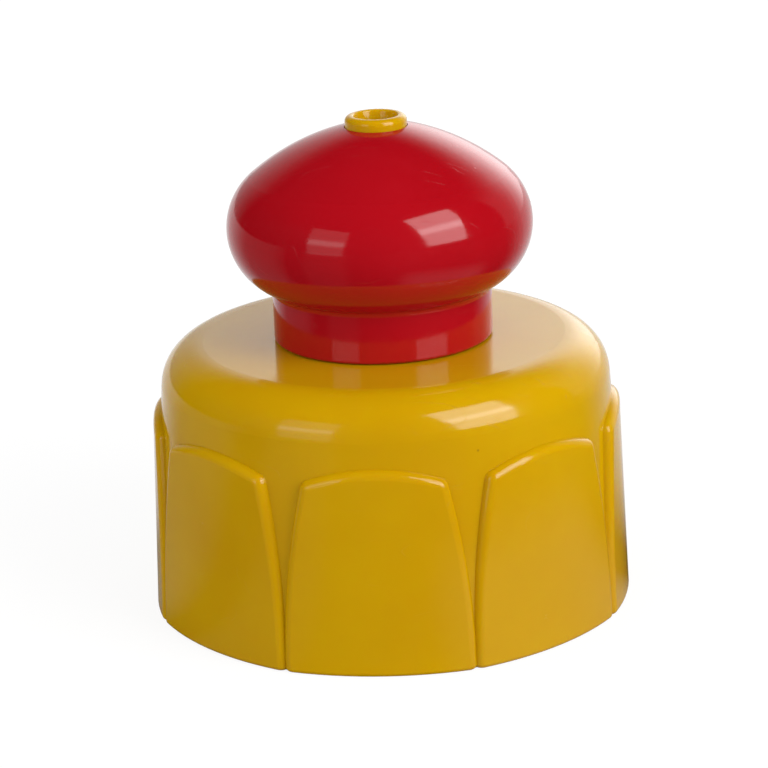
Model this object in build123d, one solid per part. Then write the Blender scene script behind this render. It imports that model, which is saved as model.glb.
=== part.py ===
from build123d import *
import os
from math import acos, atan2, cos, degrees, pi, radians, sin, sqrt

# Push and pull screw cap for a 28 mm bottle neck, shown shut.
# Millimetres, +Z up, the origin at the centre of the rim that stands on the table.

# Closure body: skirt and deck
deck_z = 18.5                # top of the deck above the rim
deck_t = 1.6                 # deck thickness
bore_r = 14.05               # inside of the skirt, behind the thread
rim_wall = 2.37              # skirt wall at the rim, between the panels
top_wall = 1.15              # the same wall carried up its slope to the deck's level
shoulder_round = 3.0         # outside rounding from the skirt into the deck
rim_round = 0.3              # small rounding round the foot of the skirt
bore_corner_round = 1.9      # inside rounding under the deck
mouth_bevel = 0.6            # lead in at the open end

# Closure body: grip panels
panel_count = 8
panel_proud = 0.08           # middle of a panel's face, out from the skirt at the rim
panel_lean = 0.034           # how far the face leans in for each millimetre of height
panel_set_back = 3.2         # its plan arc is flatter than the skirt, centred this far behind
panel_foot_gap = 0.2         # gap between neighbours at the rim
panel_top_gap = 3.0          # the same between their top corners
panel_below = 2.42           # from the shoulder's rounding down to the top corners
panel_arch = 0.95            # rise of the top edge between them
panel_corner_round = 0.7     # rounding of the two top corners
panel_edge_round = 0.6       # rounding along the face's edges
panel_root = 0.1             # start of the panel inside the skirt's wall

# Closure body: neck thread and plug seal
thread_pitch = 4.23
thread_turns = 1.5
thread_depth = 1.15
thread_foot = 2.4            # rib width where it leaves the wall
thread_crest = 0.8           # rib width at its crest
thread_low_z = 2.6           # height of the rib's middle where it starts
thread_steps = 8             # stretches in one turn
thread_root = 0.25           # how deep the rib starts inside the wall
seal_r = 10.6                # outside of the ring that plugs the bottle's neck
seal_wall = 0.9
seal_drop = 3.0              # how far it hangs under the deck
seal_nose_round = 0.35       # rounding of its lower edges

# Closure body: spout tube, webs and plug post
tube_r = 5.7
tube_wall = 1.0
tube_bead = 0.45             # how far the stop bead stands out of the tube
bead_length = 0.8
tube_nose = 0.9              # tapered stretch above the bead
post_r = 2.1
post_proud = 0.76            # how far the plug's tip stands out of the knob
post_tip_round = 0.4
tip_wall = 0.6               # wall round the mouth of the hollow in the tip
dish_taper = 0.45            # how much narrower the hollow is at its floor
dish_depth = 2.2
dish_lip_round = 0.15
web_count = 3
web_t = 1.1
web_height = 3.4

# Knob
knob_wall = 1.18             # wall of its skirt
brim_overhang = 2.9          # how far the mushroom's brim stands out from that skirt
brim_rise = 7.8              # widest part above the deck
brim_round = 4.5             # rounding of the brim
crown_round = 16.3           # rounding of the crown above it
crown_start = 50.6           # degrees up the brim where the crown takes over
crown_wall = 1.5
crown_corner_round = 1.4     # inside rounding under the crown
neck_round = 0.5             # rounding where the skirt meets the mushroom
foot_round = 0.2             # rounding of the skirt's lower edge
catch_length = 0.9           # height of the inner catch that meets the tube's bead
catch_lead = 0.4             # open step below the catch

# Fits and travel
travel = 4.5                 # how far the knob pulls up
seat_gap = 0.05              # between the shut knob and the deck
stop_gap = 0.1               # left between the two beads at full travel
plug_fit = 0.05              # radial, post in the knob's orifice
slide_fit = 0.15             # radial, tube bead in the knob's bore

# Places worked out from the sizes above
deck_under_z = deck_z - deck_t
skirt_rim_r = bore_r + rim_wall
skirt_top_r = bore_r + top_wall
panel_face_r = skirt_rim_r + panel_proud + panel_set_back
panel_corner_z = deck_z - shoulder_round - panel_below
crest_r = bore_r - thread_depth
tube_bore_r = tube_r - tube_wall
web_low_z = deck_z - web_height
knob_foot_z = deck_z + seat_gap
catch_r = tube_r + slide_fit
knob_bore_r = tube_r + tube_bead + slide_fit
catch_low_z = knob_foot_z + catch_lead
catch_top_z = catch_low_z + catch_length
tube_bead_z = catch_top_z + travel + stop_gap
tube_top_z = tube_bead_z + bead_length + tube_nose
orifice_r = post_r + plug_fit
knob_skirt_r = knob_bore_r + knob_wall
brim_z = deck_z + brim_rise
brim_centre_r = knob_skirt_r + brim_overhang - brim_round
crown_centre_r = brim_centre_r - (crown_round - brim_round) * cos(radians(crown_start))
crown_centre_z = brim_z - (crown_round - brim_round) * sin(radians(crown_start))


def crown_height(radius, r):
    """Height of the crown's arc, or of one inside it, at a distance from the axis."""
    return crown_centre_z + sqrt(radius**2 - (r - crown_centre_r) ** 2)


def crown_arc(radius, r, end_angle):
    """That arc from a distance from the axis round to an angle in degrees."""
    start = degrees(atan2(crown_height(radius, r) - crown_centre_z, r - crown_centre_r))
    return CenterArc((crown_centre_r, crown_centre_z), radius, start, end_angle - start)


orifice_top_z = crown_height(crown_round, orifice_r)
post_top_z = orifice_top_z + post_proud


def half_section(*edges):
    """A face in the XZ plane, x from the axis and z up, out of a closed chain of edges."""
    return Plane.XZ * make_face(edges)


def rounded(section, radius, *corners):
    """The half section with its corners nearest to some points rounded."""
    for r, z in corners:
        corner = Vector(r, 0, z)
        nearest = min(section.vertices(), key=lambda v: (v.center() - corner).length)
        section = fillet(nearest, radius)
    return section


def skirt_and_deck():
    """The outer shell: rim, sloping skirt, rounded shoulder and flat deck, hollow inside."""
    section = half_section(
        Polyline(
            (tube_bore_r, deck_under_z),
            (tube_bore_r, deck_z),
            (skirt_top_r, deck_z),
            (skirt_rim_r, 0),
            (bore_r + mouth_bevel, 0),
            (bore_r, mouth_bevel),
            (bore_r, deck_under_z),
            close=True,
        )
    )
    section = rounded(section, shoulder_round, (skirt_top_r, deck_z))
    section = rounded(section, bore_corner_round, (bore_r, deck_under_z))
    section = rounded(section, rim_round, (skirt_rim_r, 0))
    return revolve(section, Axis.Z)


def panel_half_width(z, gap):
    """Half width of a panel at a height, where its face stands that far from its neighbour's."""
    half_pitch = pi / panel_count
    face_r = panel_face_r - panel_lean * z
    corner_r = sqrt(face_r**2 - (panel_set_back * sin(half_pitch)) ** 2)
    corner_r -= panel_set_back * cos(half_pitch)
    return corner_r * sin(half_pitch) - gap / 2


def panel_outline():
    """Front view of a panel: sides upright at the rim, curving in to the arched top."""
    foot_half = panel_half_width(0, panel_foot_gap)
    top_half = panel_half_width(panel_corner_z, panel_top_gap)
    left_foot, right_foot = (-foot_half, 0), (foot_half, 0)
    left_top, right_top = (-top_half, panel_corner_z), (top_half, panel_corner_z)
    outline = make_face(
        [
            Line(left_foot, right_foot),
            TangentArc(right_foot, right_top, tangent=(0, 1)),
            ThreePointArc(right_top, (0, panel_corner_z + panel_arch), left_top),
            TangentArc(left_foot, left_top, tangent=(0, 1)),
        ]
    )
    return fillet(outline.vertices().sort_by(Axis.Y)[-2:], panel_corner_round)


def grip_panel():
    """The panel on the front of the skirt, its face a shallow curve that leans inwards."""
    height = panel_corner_z + panel_arch
    block = extrude(Plane.XZ.offset(bore_r + panel_root) * panel_outline(), skirt_rim_r)
    face = Cone(
        panel_face_r,
        panel_face_r - panel_lean * height,
        height,
        align=(Align.CENTER, Align.CENTER, Align.MIN),
    )
    panel = block & Pos(0, panel_set_back, 0) * face
    front = panel.faces().filter_by(GeomType.CONE).sort_by(Axis.Y)[0]
    panel = fillet(front.edges().filter_by(lambda e: e.center().Z > rim_round), panel_edge_round)
    foot = panel.edges().group_by(Axis.Z)[0].sort_by(Axis.Y)[0]
    return fillet(foot, rim_round)


def neck_thread():
    """The helical rib on the bore in equal stretches, its crest a true cylinder."""
    rise = thread_pitch / thread_steps
    turn = 360 / thread_steps
    slope = (thread_foot - thread_crest) / 2 / thread_depth
    foot_half = thread_foot / 2 + slope * thread_root
    tip_half = thread_crest / 2 - slope * thread_root
    section = half_section(
        Polyline(
            (bore_r + thread_root, -foot_half),
            (bore_r + thread_root, foot_half),
            (crest_r - thread_root, tip_half),
            (crest_r - thread_root, -tip_half),
            close=True,
        )
    )
    stretch = sweep(section, path=Helix(thread_pitch, rise, bore_r), is_frenet=True)
    stretch -= Cylinder(crest_r, 2 * thread_pitch)
    count = round(thread_turns * thread_steps)
    return [
        Pos(0, 0, thread_low_z + i * rise) * Rot(0, 0, i * turn) * stretch for i in range(count)
    ]


def plug_seal():
    """The ring under the deck that plugs the bottle's neck."""
    low = deck_under_z - seal_drop
    section = half_section(
        Polyline(
            (seal_r - seal_wall, low),
            (seal_r, low),
            (seal_r, deck_z - deck_t / 2),
            (seal_r - seal_wall, deck_z - deck_t / 2),
            close=True,
        )
    )
    section = rounded(section, seal_nose_round, (seal_r, low), (seal_r - seal_wall, low))
    return revolve(section, Axis.Z)


def spout_tube():
    """The tube that the knob slides on, with its stop bead and tapered nose."""
    section = half_section(
        Polyline(
            (tube_bore_r, web_low_z),
            (tube_r, web_low_z),
            (tube_r, tube_bead_z),
            (tube_r + tube_bead, tube_bead_z),
            (tube_r + tube_bead, tube_bead_z + bead_length),
            (tube_r, tube_top_z),
            (tube_bore_r, tube_top_z),
            close=True,
        )
    )
    return revolve(section, Axis.Z)


def plug_post():
    """The post that stands up through the tube, its tip rounded and hollowed."""
    dish_r = post_r - tip_wall
    floor_z = post_top_z - dish_depth
    section = half_section(
        Polyline(
            (0, web_low_z),
            (post_r, web_low_z),
            (post_r, post_top_z),
            (dish_r, post_top_z),
            (dish_r - dish_taper, floor_z),
            (0, floor_z),
            close=True,
        )
    )
    section = rounded(section, post_tip_round, (post_r, post_top_z))
    section = rounded(section, dish_lip_round, (dish_r, post_top_z))
    return revolve(section, Axis.Z)


def webs():
    """The spokes that carry the post across the tube's bore, with flow windows between them."""
    reach = tube_bore_r + tube_wall / 2
    spoke = Pos(0, 0, web_low_z) * Box(
        reach, web_t, web_height, align=(Align.MIN, Align.CENTER, Align.MIN)
    )
    return [Rot(0, 0, 90 + i * 360 / web_count) * spoke for i in range(web_count)]


def closure_body():
    body = skirt_and_deck()
    panel = grip_panel()
    body += [Rot(0, 0, i * 360 / panel_count) * panel for i in range(panel_count)]
    body += [plug_seal(), spout_tube(), plug_post()] + webs()
    return body.solid().fuse(*neck_thread())  # the crest keeps one face for each stretch


def push_pull_knob():
    """The mushroom that slides on the spout tube, with its orifice round the post's tip."""
    inner_round = crown_round - crown_wall
    ceiling_z = crown_height(inner_round, knob_bore_r)
    neck_angle = -degrees(acos((knob_skirt_r - brim_centre_r) / brim_round))
    crown = crown_arc(crown_round, orifice_r, crown_start)
    brim = CenterArc((brim_centre_r, brim_z), brim_round, crown_start, neck_angle - crown_start)
    inner_end = degrees(atan2(ceiling_z - crown_centre_z, knob_bore_r - crown_centre_r))
    ceiling = crown_arc(inner_round, orifice_r, inner_end)
    skirt = Polyline(
        brim @ 1,
        (knob_skirt_r, knob_foot_z),
        (knob_bore_r, knob_foot_z),
        (knob_bore_r, catch_low_z),
        (catch_r, catch_low_z + tube_bead),
        (catch_r, catch_top_z),
        (knob_bore_r, catch_top_z),
        ceiling @ 1,
    )
    section = half_section(crown, brim, skirt, ceiling, Line(ceiling @ 0, crown @ 0))
    neck = brim @ 1
    section = rounded(section, neck_round, (neck.X, neck.Y))
    section = rounded(section, foot_round, (knob_skirt_r, knob_foot_z))
    section = rounded(section, crown_corner_round, (knob_bore_r, ceiling_z))
    return revolve(section, Axis.Z)


os.makedirs("parts", exist_ok=True)
for name, piece in {"closure_body": closure_body(), "push_pull_knob": push_pull_knob()}.items():
    piece.label = name
    export_step(piece, f"parts/{name}.step")
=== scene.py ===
import math

import bpy
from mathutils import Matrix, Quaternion, Vector

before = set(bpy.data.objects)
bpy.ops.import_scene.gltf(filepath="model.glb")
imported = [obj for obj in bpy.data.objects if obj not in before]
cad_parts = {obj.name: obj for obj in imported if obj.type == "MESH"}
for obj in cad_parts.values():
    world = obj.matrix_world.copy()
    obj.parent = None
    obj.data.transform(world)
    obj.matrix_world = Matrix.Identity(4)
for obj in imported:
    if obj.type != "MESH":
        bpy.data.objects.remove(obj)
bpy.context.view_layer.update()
print("frame loaded")


# Helpers for node trees
def addNode(tree, kind, spot, **settings):
    node = tree.nodes.new(kind)
    node.location = spot
    for name, value in settings.items():
        setattr(node, name, value)
    return node


def mathNode(tree, operation, spot, first, second=0.5, third=None, clamp=False):
    node = addNode(tree, "ShaderNodeMath", spot, operation=operation, use_clamp=clamp)
    for socket, value in zip(node.inputs, (first, second, third)):
        feed(tree, value, socket)
    return node.outputs[0]


def feed(tree, value, socket):
    if value is None:
        return
    if isinstance(value, bpy.types.NodeSocket):
        tree.links.new(value, socket)
    else:
        socket.default_value = value


def rampMask(tree, spot, value, low, high, outLow=0.0, outHigh=1.0):
    node = addNode(tree, "ShaderNodeMapRange", spot, interpolation_type="SMOOTHSTEP")
    feed(tree, value, node.inputs["Value"])
    feed(tree, low, node.inputs["From Min"])
    feed(tree, high, node.inputs["From Max"])
    feed(tree, outLow, node.inputs["To Min"])
    feed(tree, outHigh, node.inputs["To Max"])
    return node.outputs["Result"]


def mixColour(tree, spot, factor, first, second, blend="MIX"):
    node = addNode(tree, "ShaderNodeMix", spot, data_type="RGBA", blend_type=blend)
    feed(tree, factor, node.inputs["Factor"])
    feed(tree, first, node.inputs[6])
    feed(tree, second, node.inputs[7])
    return node.outputs[2]


def newGroup(name, inputs, outputs):
    tree = bpy.data.node_groups.new(name, "ShaderNodeTree")
    for label, kind, value in inputs:
        socket = tree.interface.new_socket(label, in_out="INPUT", socket_type=kind)
        if value is not None:
            socket.default_value = value
    for label in outputs:
        tree.interface.new_socket(label, in_out="OUTPUT", socket_type="NodeSocketFloat")
    return tree, addNode(tree, "NodeGroupInput", (-1200, 0)), addNode(tree, "NodeGroupOutput", (900, 0))


def placeGroup(tree, group, spot, vector, **values):
    node = addNode(tree, "ShaderNodeGroup", spot, node_tree=group)
    tree.links.new(vector, node.inputs["Vector"])
    for name, value in values.items():
        feed(tree, value, node.inputs[name])
    return node


# Camera fitted to the photo
cameraValues = {
    "azimuth": 3.9,        # degrees round from the front panel
    "elevation": 17.63,
    "roll": 2.22,          # the photo's cap leans a little
    "distance": 0.210,
    "targetHeight": 0.01485,
    "targetRight": -0.000125,
    "focalPixels": 3051.0,
    "imageSize": 768.0,
}


def makeCamera(values):
    azimuth, elevation = math.radians(values["azimuth"]), math.radians(values["elevation"])
    back = Vector(
        (
            math.sin(azimuth) * math.cos(elevation),
            -math.cos(azimuth) * math.cos(elevation),
            math.sin(elevation),
        )
    )
    right = Vector((math.cos(azimuth), math.sin(azimuth), 0))
    target = Vector((0, 0, values["targetHeight"])) + right * values["targetRight"]
    data = bpy.data.cameras.new("photoCamera")
    data.sensor_width = 36
    data.lens = values["focalPixels"] * data.sensor_width / values["imageSize"]
    data.clip_start, data.clip_end = 0.01, 20
    camera = bpy.data.objects.new("photoCamera", data)
    bpy.context.collection.objects.link(camera)
    camera.location = target + back * values["distance"]
    camera.rotation_mode = "QUATERNION"
    look = (-back).to_track_quat("-Z", "Y")
    camera.rotation_quaternion = look @ Quaternion((0, 0, 1), -math.radians(values["roll"]))
    bpy.context.scene.camera = camera


makeCamera(cameraValues)
print("camera placed")


# Studio: world, lamps and floor
studioValues = {
    "fillLow": 1.00,           # even light from all round, near the horizon
    "fillTop": 0.47,           # and overhead
    "glowAzimuth": 165.0,      # white sweep behind the cap, as its gloss shows it
    "glowElevation": 12.0,
    "glowStrength": 1.9,
    "glowSharpness": 28.0,
    "backStrength": 0.38,      # paler backdrop to both sides of it
    "glowTopLow": 0.45,        # the sweep fades out between these heights
    "glowTopHigh": 0.78,
    "wallStrength": 0.26,      # white wall to the right of it
    "floorRadius": 3.0,
    "floorColour": (0.45, 0.45, 0.45, 1.0),
    "floorGlow": 1.06,         # plain white the camera sees on the floor
    "floorWhite": 0.84,        # its share near the cap, the rest is lit paper
    "floorClear": 0.16,        # plain white beyond this distance
    "paintedFloorGlowFront": 0.025,       # painted glow the floor shows only in gloss, dark in front and bright behind
    "paintedFloorGlowBack": 0.9,
    "paintedFloorGlowBackAzimuth": -176.0,
    "paintedLightPools": (            # painted pools of light on the floor, seen only in gloss: azimuth, half width, level, reach
        (54.0, 34.0, 0.34, 0.04), (-37.0, 17.0, 0.10, 2.0), (-105.0, 32.0, 0.22, 2.0),
    ),
}
lampValues = {
    "keyBox": {
        "azimuth": 54.7, "elevation": 30.7, "distance": 0.42,
        "width": 0.62, "height": 0.90, "power": 2.15, "rimLevel": 0.54, "gloss": True,
    },
    "fillBox": {
        "azimuth": -37.3, "elevation": 15.5, "distance": 0.42,
        "width": 0.50, "height": 0.76, "power": 0.44, "rimLevel": 0.30, "gloss": True,
    },
    "leftFill": {
        "azimuth": -82.0, "elevation": 8.0, "distance": 0.5,
        "width": 0.8, "height": 0.8, "power": 0.28, "rimLevel": 1.0, "gloss": False,
    },
}


def direction(azimuth, elevation):
    a, e = math.radians(azimuth), math.radians(elevation)
    return Vector((math.sin(a) * math.cos(e), -math.cos(a) * math.cos(e), math.sin(e)))


def lightPath(tree, spot):
    path = addNode(tree, "ShaderNodeLightPath", spot)
    seen = mathNode(
        tree, "MAXIMUM", (spot[0] + 200, spot[1]),
        path.outputs["Is Camera Ray"], path.outputs["Is Transmission Ray"],
    )
    return seen, path.outputs["Is Glossy Ray"]


def makeWorld(values):
    world = bpy.data.worlds.new("studioWorld")
    bpy.context.scene.world = world
    world.use_nodes = True
    tree = world.node_tree
    tree.nodes.clear()
    seen, glossy = lightPath(tree, (-1400, 500))
    around = addNode(tree, "ShaderNodeTexCoord", (-1400, 0)).outputs["Generated"]
    toward = addNode(tree, "ShaderNodeVectorMath", (-1200, 0), operation="DOT_PRODUCT")
    tree.links.new(around, toward.inputs[0])
    toward.inputs[1].default_value = direction(values["glowAzimuth"], values["glowElevation"])
    near = mathNode(tree, "MULTIPLY_ADD", (-1000, 0), toward.outputs["Value"], 0.5, 0.5)
    lobe = mathNode(tree, "POWER", (-800, 0), near, values["glowSharpness"])
    parts = addNode(tree, "ShaderNodeSeparateXYZ", (-1200, -250))
    tree.links.new(around, parts.inputs[0])
    top = rampMask(
        tree, (-1000, -250), parts.outputs["Z"], values["glowTopLow"], values["glowTopHigh"], 1.0, 0.0
    )
    side = mathNode(tree, "MULTIPLY_ADD", (-1000, -500), parts.outputs["X"], -0.36, parts.outputs["Y"])
    wall = rampMask(tree, (-800, -500), side, 0.0, 0.06, 0.0, values["wallStrength"])
    rightOnly = rampMask(tree, (-800, -750), parts.outputs["X"], -0.1, 0.3)
    wall = mathNode(tree, "MULTIPLY", (-600, -500), wall, rightOnly)
    back = rampMask(tree, (-800, -1000), parts.outputs["Y"], 0.5, 0.95, 0.0, values["backStrength"])
    wall = mathNode(tree, "ADD", (-400, -500), wall, back)
    glow = mathNode(tree, "MULTIPLY_ADD", (-600, 0), lobe, values["glowStrength"], wall)
    glow = mathNode(tree, "MULTIPLY", (-400, 0), glow, top)
    fill = rampMask(
        tree, (-400, 250), parts.outputs["Z"], 0.0, 0.9, values["fillLow"], values["fillTop"]
    )
    level = addNode(tree, "ShaderNodeMix", (-200, 0), data_type="FLOAT")
    feed(tree, glossy, level.inputs[0])
    feed(tree, fill, level.inputs[2])
    feed(tree, glow, level.inputs[3])
    level = mathNode(tree, "MAXIMUM", (0, 0), level.outputs[0], seen)
    background = addNode(tree, "ShaderNodeBackground", (200, 0))
    background.inputs["Color"].default_value = (1, 1, 1, 1)
    tree.links.new(level, background.inputs["Strength"])
    output = addNode(tree, "ShaderNodeOutputWorld", (400, 0))
    tree.links.new(background.outputs[0], output.inputs["Surface"])


def makeLamp(name, values):
    data = bpy.data.lights.new(name, "AREA")
    data.shape = "RECTANGLE"
    data.size = values["width"] * values["distance"]
    data.size_y = values["height"] * values["distance"]
    data.energy = values["power"]
    lamp = bpy.data.objects.new(name, data)
    bpy.context.collection.objects.link(lamp)
    away = direction(values["azimuth"], values["elevation"])
    lamp.location = Vector((0, 0, 0.022)) + away * values["distance"]
    lamp.rotation_euler = away.to_track_quat("Z", "Y").to_euler()
    lamp.visible_camera = False
    lamp.visible_glossy = values["gloss"]
    data.use_nodes = True
    tree = data.node_tree
    tree.nodes.clear()
    across = addNode(tree, "ShaderNodeSeparateXYZ", (-600, 0))
    tree.links.new(addNode(tree, "ShaderNodeNewGeometry", (-800, 0)).outputs["Parametric"], across.inputs[0])
    offset = mathNode(tree, "SUBTRACT", (-400, 0), across.outputs["Y"], 0.5)
    offset = mathNode(tree, "ABSOLUTE", (-200, 0), offset)
    level = rampMask(tree, (0, 0), offset, 0.02, 0.15, 1.0, values["rimLevel"])    # tube across its middle
    glow = addNode(tree, "ShaderNodeEmission", (200, 0))
    tree.links.new(level, glow.inputs["Strength"])
    tree.links.new(glow.outputs[0], addNode(tree, "ShaderNodeOutputLight", (400, 0)).inputs["Surface"])


def makeFloor(values):
    points, faces = [(0, 0, 0)], []
    sides = 96
    for i in range(sides):
        angle = 2 * math.pi * i / sides
        points.append((values["floorRadius"] * math.cos(angle), values["floorRadius"] * math.sin(angle), 0))
        faces.append((0, i + 1, (i + 1) % sides + 1))
    mesh = bpy.data.meshes.new("studioFloor")
    mesh.from_pydata(points, [], faces)
    floor = bpy.data.objects.new("studioFloor", mesh)
    bpy.context.collection.objects.link(floor)
    material = bpy.data.materials.new("floorPaper")
    material.use_nodes = True
    tree = material.node_tree
    tree.nodes.clear()
    seen, glossy = lightPath(tree, (-900, 500))
    spot = addNode(tree, "ShaderNodeTexCoord", (-1300, -200)).outputs["Object"]
    grain = addNode(tree, "ShaderNodeTexNoise", (-900, -400))
    grain.inputs["Scale"].default_value = 400
    tree.links.new(spot, grain.inputs["Vector"])
    tone = mixColour(
        tree, (-600, -300), mathNode(tree, "MULTIPLY", (-750, -400), grain.outputs[0], 0.08),
        values["floorColour"], (0.4, 0.4, 0.4, 1),
    )
    paper = addNode(tree, "ShaderNodeBsdfDiffuse", (-300, -200))
    tree.links.new(tone, paper.inputs["Color"])
    lit = addNode(tree, "ShaderNodeBsdfDiffuse", (-300, 0))
    lit.inputs["Color"].default_value = (0.85, 0.85, 0.85, 1)
    white = addNode(tree, "ShaderNodeEmission", (-300, 200))
    white.inputs["Strength"].default_value = values["floorGlow"]
    away = addNode(tree, "ShaderNodeVectorMath", (-1100, 300), operation="LENGTH")
    tree.links.new(spot, away.inputs[0])
    share = rampMask(
        tree, (-600, 300), away.outputs["Value"], 0.03, values["floorClear"], values["floorWhite"], 1.0
    )
    shown = addNode(tree, "ShaderNodeMixShader", (-50, 100))
    tree.links.new(share, shown.inputs[0])
    tree.links.new(lit.outputs[0], shown.inputs[1])
    tree.links.new(white.outputs[0], shown.inputs[2])
    unit = addNode(tree, "ShaderNodeVectorMath", (-1100, -700), operation="NORMALIZE")
    tree.links.new(spot, unit.inputs[0])

    def facing(azimuth, height):
        toward = addNode(tree, "ShaderNodeVectorMath", (-900, height), operation="DOT_PRODUCT")
        tree.links.new(unit.outputs[0], toward.inputs[0])
        toward.inputs[1].default_value = direction(azimuth, 0)
        return toward.outputs["Value"]

    # painted light on the floor for glossy rays: dark in front, bright behind, with painted pools of light
    level = rampMask(
        tree, (-700, -700), facing(values["paintedFloorGlowBackAzimuth"], -700), 0.2, 1.0,
        values["paintedFloorGlowFront"], values["paintedFloorGlowBack"],
    )
    # each entry paints a pool of light onto the floor's glow in reflections
    for i, (azimuth, halfWidth, strength, reach) in enumerate(values["paintedLightPools"]):
        row = -950 - 250 * i
        wide = math.cos(math.radians(halfWidth * 1.3))
        narrow = math.cos(math.radians(halfWidth * 0.6))
        paintedLightPool = rampMask(tree, (-700, row), facing(azimuth, row), wide, narrow, 0.0, strength)
        near = rampMask(tree, (-700, row - 120), away.outputs["Value"], reach * 0.8, reach * 1.4, 1.0, 0.12)
        paintedLightPool = mathNode(tree, "MULTIPLY", (-500, row), paintedLightPool, near)
        level = mathNode(tree, "MAXIMUM", (-300, row), level, paintedLightPool)
    # the floor glows with this painted light in reflections only
    paintedGlossGlow = addNode(tree, "ShaderNodeEmission", (-300, -600))
    tree.links.new(level, paintedGlossGlow.inputs["Strength"])
    hidden = addNode(tree, "ShaderNodeMixShader", (150, -200))
    tree.links.new(glossy, hidden.inputs[0])
    tree.links.new(paper.outputs[0], hidden.inputs[1])
    tree.links.new(paintedGlossGlow.outputs[0], hidden.inputs[2])
    final = addNode(tree, "ShaderNodeMixShader", (350, 0))
    tree.links.new(seen, final.inputs[0])
    tree.links.new(hidden.outputs[0], final.inputs[1])
    tree.links.new(shown.outputs[0], final.inputs[2])
    output = addNode(tree, "ShaderNodeOutputMaterial", (550, 0))
    tree.links.new(final.outputs[0], output.inputs["Surface"])
    floor.data.materials.append(material)


makeWorld(studioValues)
for lampName, lampSettings in lampValues.items():
    makeLamp(lampName, lampSettings)
makeFloor(studioValues)
print("studio ready")


# Surface effects shared by the plastics
def makeMouldedSkin():
    tree, source, sink = newGroup(
        "mouldedSkin",
        [
            ("Vector", "NodeSocketVector", None),
            ("Ripple Scale", "NodeSocketFloat", 160.0),
            ("Peel Scale", "NodeSocketFloat", 2600.0),
            ("Peel Share", "NodeSocketFloat", 0.08),
        ],
        ["Height", "Tone", "Gloss"],
    )
    ripple = addNode(tree, "ShaderNodeTexNoise", (-800, 200))
    tree.links.new(source.outputs["Vector"], ripple.inputs["Vector"])
    tree.links.new(source.outputs["Ripple Scale"], ripple.inputs["Scale"])
    ripple.inputs["Detail"].default_value = 1.5
    peel = addNode(tree, "ShaderNodeTexNoise", (-800, -100))
    tree.links.new(source.outputs["Vector"], peel.inputs["Vector"])
    tree.links.new(source.outputs["Peel Scale"], peel.inputs["Scale"])
    peel.inputs["Detail"].default_value = 3.0
    height = mathNode(
        tree, "MULTIPLY_ADD", (-400, 100), peel.outputs[0], source.outputs["Peel Share"], ripple.outputs[0]
    )
    tree.links.new(height, sink.inputs["Height"])
    slow = addNode(tree, "ShaderNodeTexNoise", (-800, -400))
    tree.links.new(source.outputs["Vector"], slow.inputs["Vector"])
    slow.inputs["Scale"].default_value = 90.0
    slow.inputs["Detail"].default_value = 4.0
    tree.links.new(rampMask(tree, (-400, -400), slow.outputs[0], 0.3, 0.7), sink.inputs["Tone"])
    smudge = addNode(tree, "ShaderNodeTexNoise", (-800, -700))
    tree.links.new(source.outputs["Vector"], smudge.inputs["Vector"])
    smudge.inputs["Scale"].default_value = 240.0
    smudge.inputs["Detail"].default_value = 6.0
    smudge.inputs["Roughness"].default_value = 0.65
    tree.links.new(rampMask(tree, (-400, -700), smudge.outputs[0], 0.45, 0.75), sink.inputs["Gloss"])
    return tree


def makeHairScratches():
    tree, source, sink = newGroup(
        "hairScratches",
        [
            ("Vector", "NodeSocketVector", None),
            ("Amount", "NodeSocketFloat", 0.5),
            ("Width", "NodeSocketFloat", 0.004),
        ],
        ["Mask"],
    )
    total = None
    for i, turn in enumerate(((0.3, 0.9, 0.2), (1.3, 0.2, 2.1), (2.2, 1.5, 0.7))):
        mapping = addNode(tree, "ShaderNodeMapping", (-900, -400 * i))
        tree.links.new(source.outputs["Vector"], mapping.inputs["Vector"])
        mapping.inputs["Rotation"].default_value = turn
        mapping.inputs["Scale"].default_value = (60.0, 700.0, 500.0)
        line = addNode(tree, "ShaderNodeTexNoise", (-700, -400 * i))
        tree.links.new(mapping.outputs[0], line.inputs["Vector"])
        line.inputs["Scale"].default_value = 1.0
        line.inputs["Detail"].default_value = 0.0
        offset = mathNode(tree, "SUBTRACT", (-500, -400 * i), line.outputs[0], 0.5)
        offset = mathNode(tree, "ABSOLUTE", (-350, -400 * i), offset)
        edge = rampMask(tree, (-200, -400 * i), offset, 0.0, source.outputs["Width"], 1.0, 0.0)
        patch = addNode(tree, "ShaderNodeTexNoise", (-700, -400 * i - 200))
        tree.links.new(source.outputs["Vector"], patch.inputs["Vector"])
        patch.inputs["Scale"].default_value = 330.0 + 70.0 * i
        patch.inputs["Detail"].default_value = 1.0
        shown = rampMask(tree, (-400, -400 * i - 200), patch.outputs[0], 0.58, 0.68)
        edge = mathNode(tree, "MULTIPLY", (0, -400 * i), edge, shown)
        total = edge if total is None else mathNode(tree, "MAXIMUM", (200, -400 * i), total, edge)
    tree.links.new(mathNode(tree, "MULTIPLY", (500, 0), total, source.outputs["Amount"]), sink.inputs["Mask"])
    return tree


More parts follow.
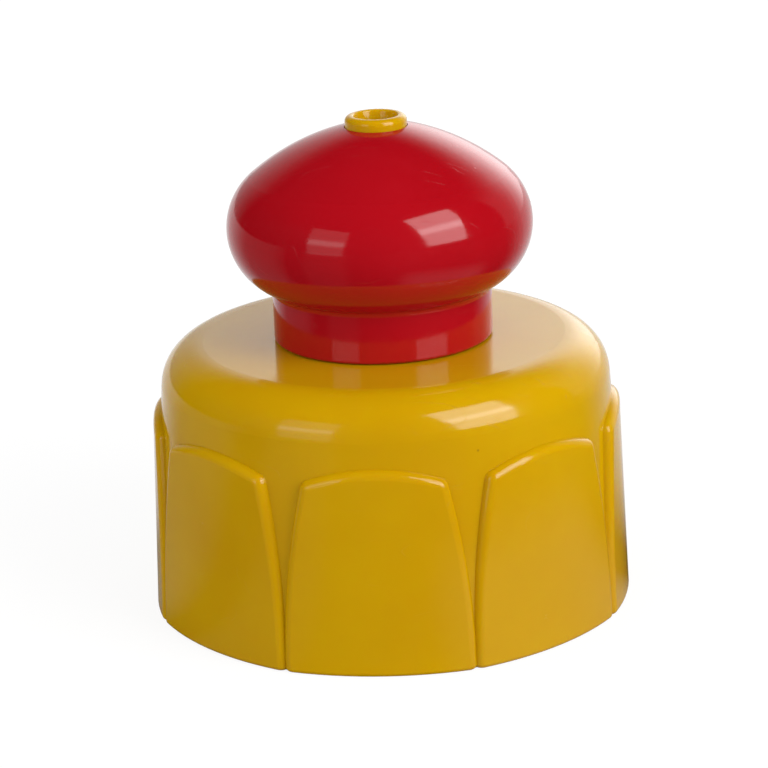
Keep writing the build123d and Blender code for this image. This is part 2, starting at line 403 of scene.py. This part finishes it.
def makeSpecks():
    tree, source, sink = newGroup(
        "mouldSpecks",
        [
            ("Vector", "NodeSocketVector", None),
            ("Scale", "NodeSocketFloat", 450.0),
            ("Size", "NodeSocketFloat", 0.06),
            ("Density", "NodeSocketFloat", 0.03),
        ],
        ["Mask"],
    )
    cells = addNode(tree, "ShaderNodeTexVoronoi", (-800, 0))
    tree.links.new(source.outputs["Vector"], cells.inputs["Vector"])
    tree.links.new(source.outputs["Scale"], cells.inputs["Scale"])
    dot = rampMask(tree, (-400, 0), cells.outputs["Distance"], 0.0, source.outputs["Size"], 1.0, 0.0)
    pick = addNode(tree, "ShaderNodeSeparateColor", (-600, -200))
    tree.links.new(cells.outputs["Color"], pick.inputs[0])
    chosen = mathNode(tree, "LESS_THAN", (-400, -200), pick.outputs[0], source.outputs["Density"])
    tree.links.new(mathNode(tree, "MULTIPLY", (0, 0), dot, chosen), sink.inputs["Mask"])
    return tree


skinGroup, scratchGroup, speckGroup = makeMouldedSkin(), makeHairScratches(), makeSpecks()

# Plastics, one set of values for each piece
yellowValues = {
    "name": "yellowPlastic",
    "colour": (0.60, 0.342, 0.0006, 1.0),
    "deepColour": (0.565, 0.305, 0.0003, 1.0),
    "speckColour": (0.16, 0.07, 0.01, 1.0),
    "roughness": 0.10,
    "smudgeRoughness": 0.05,
    "scratchRoughness": 0.25,
    "ior": 1.49,
    "subsurface": 0.25,
    "subsurfaceRadius": (1.0, 0.45, 0.08),
    "subsurfaceScale": 0.0012,
    "skinDepth": 0.00002,
    "scratchDepth": 0.000006,
}
redValues = {
    "name": "redPlastic",
    "colour": (0.42, 0.0038, 0.0095, 1.0),
    "deepColour": (0.39, 0.0028, 0.0075, 1.0),
    "speckColour": (0.62, 0.16, 0.16, 1.0),
    "roughness": 0.09,
    "smudgeRoughness": 0.05,
    "scratchRoughness": 0.25,
    "ior": 1.49,
    "subsurface": 0.15,
    "subsurfaceRadius": (1.0, 0.12, 0.12),
    "subsurfaceScale": 0.0010,
    "skinDepth": 0.000014,
    "scratchDepth": 0.000005,
}


def makePlastic(values):
    material = bpy.data.materials.new(values["name"])
    material.use_nodes = True
    tree = material.node_tree
    tree.nodes.clear()
    place = addNode(tree, "ShaderNodeTexCoord", (-1400, 0)).outputs["Object"]
    skin = placeGroup(tree, skinGroup, (-1000, 200), place)
    scratches = placeGroup(tree, scratchGroup, (-1000, -100), place, Amount=0.7)
    specks = placeGroup(tree, speckGroup, (-1000, -400), place)
    colour = mixColour(tree, (-600, 300), skin.outputs["Tone"], values["colour"], values["deepColour"])
    colour = mixColour(tree, (-400, 300), specks.outputs["Mask"], colour, values["speckColour"])
    rough = mathNode(
        tree, "MULTIPLY_ADD", (-600, 0), skin.outputs["Gloss"], values["smudgeRoughness"], values["roughness"]
    )
    rough = mathNode(
        tree, "MULTIPLY_ADD", (-400, 0), scratches.outputs["Mask"], values["scratchRoughness"], rough
    )
    wavy = addNode(tree, "ShaderNodeBump", (-400, -300))
    wavy.inputs["Distance"].default_value = values["skinDepth"]
    tree.links.new(skin.outputs["Height"], wavy.inputs["Height"])
    scored = addNode(tree, "ShaderNodeBump", (-200, -300), invert=True)
    scored.inputs["Distance"].default_value = values["scratchDepth"]
    tree.links.new(scratches.outputs["Mask"], scored.inputs["Height"])
    tree.links.new(wavy.outputs[0], scored.inputs["Normal"])
    shader = addNode(tree, "ShaderNodeBsdfPrincipled", (0, 0))
    tree.links.new(colour, shader.inputs["Base Color"])
    tree.links.new(rough, shader.inputs["Roughness"])
    tree.links.new(scored.outputs[0], shader.inputs["Normal"])
    shader.inputs["IOR"].default_value = values["ior"]
    shader.inputs["Subsurface Weight"].default_value = values["subsurface"]
    shader.inputs["Subsurface Radius"].default_value = values["subsurfaceRadius"]
    shader.inputs["Subsurface Scale"].default_value = values["subsurfaceScale"]
    output = addNode(tree, "ShaderNodeOutputMaterial", (300, 0))
    tree.links.new(shader.outputs[0], output.inputs["Surface"])
    return material


for nodeName, settings in (("closure_body", yellowValues), ("push_pull_knob", redValues)):
    plastic = makePlastic(settings)
    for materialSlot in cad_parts[nodeName].material_slots:
        materialSlot.material = plastic
print("plastics made")

bpy.context.scene.view_settings.view_transform = "Standard"
